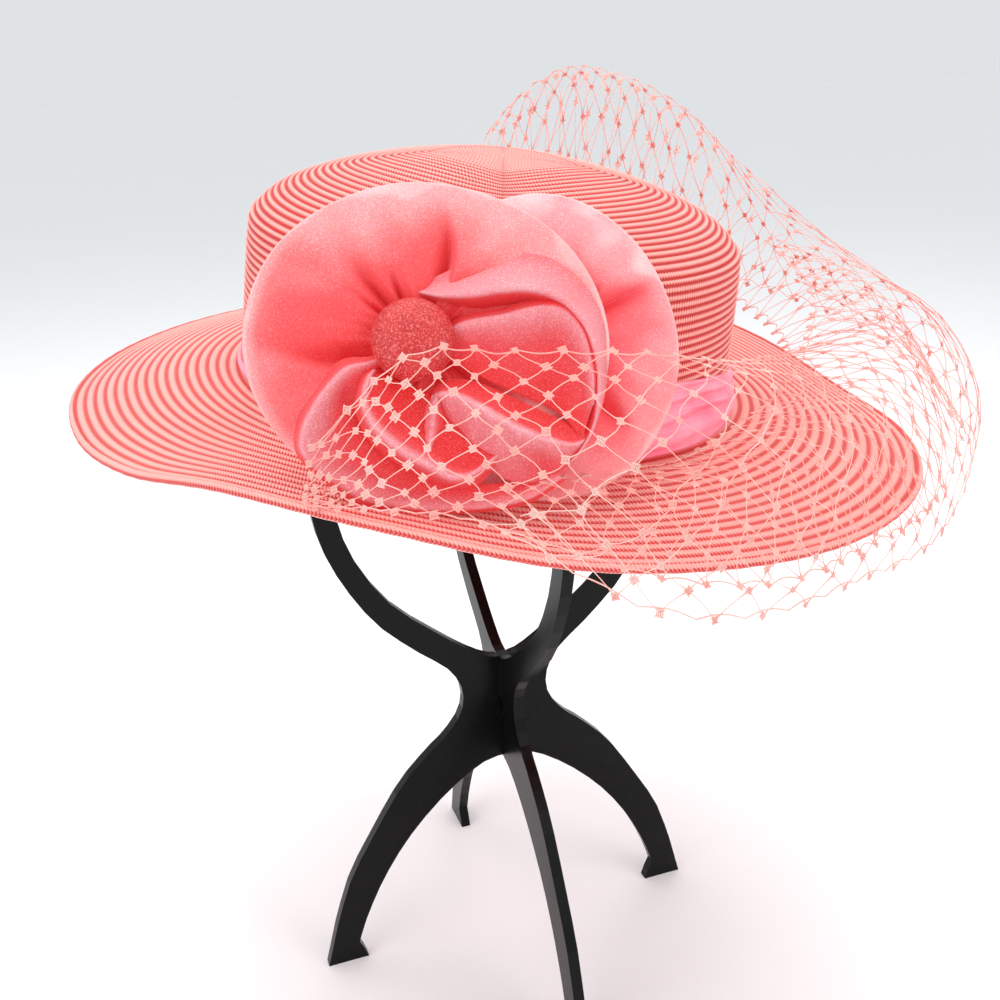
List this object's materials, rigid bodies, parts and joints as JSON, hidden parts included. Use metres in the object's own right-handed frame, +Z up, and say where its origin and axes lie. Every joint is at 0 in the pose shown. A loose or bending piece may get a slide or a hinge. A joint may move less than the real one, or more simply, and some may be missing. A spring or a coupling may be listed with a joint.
{
  "type": "boater hat on a folding hat stand",
  "caption": "Wide-brimmed straw boater with a draped band, an organza rosette with a covered button and a knotted net veil, seated on a plain slotted folding hat stand",
  "frame": {"origin": "On the floor that the stand's feet rest on, under the middle of the whole thing", "axes": "+Z up; -Y is the side of the rosette, towards the picture's camera; +X is the picture's right, along the crown's long axis, where the veil stands widest"},
  "size_m": [0.385, 0.3512, 0.405],
  "materials": {
    "straw": "woven straw braid, satin",
    "organza": "sheer sparkling organza",
    "button": "organza-covered, sparkling",
    "band": "pleated satin organza",
    "veil": "knotted thread net",
    "stand": "gloss"
  },
  "bodies": {
    "root": {"stand_side_plate": "stand", "stand_front_plate": "stand", "crown": "straw", "brim": "straw", "band": "band", "veil": "veil", "rosette_front_disc": "organza", "rosette_back_disc": "organza", "rosette_right_petal": "organza", "rosette_lower_petal": "organza", "rosette_cup_petal": "organza", "rosette_button": "button"}
  },
  "joints": []
}
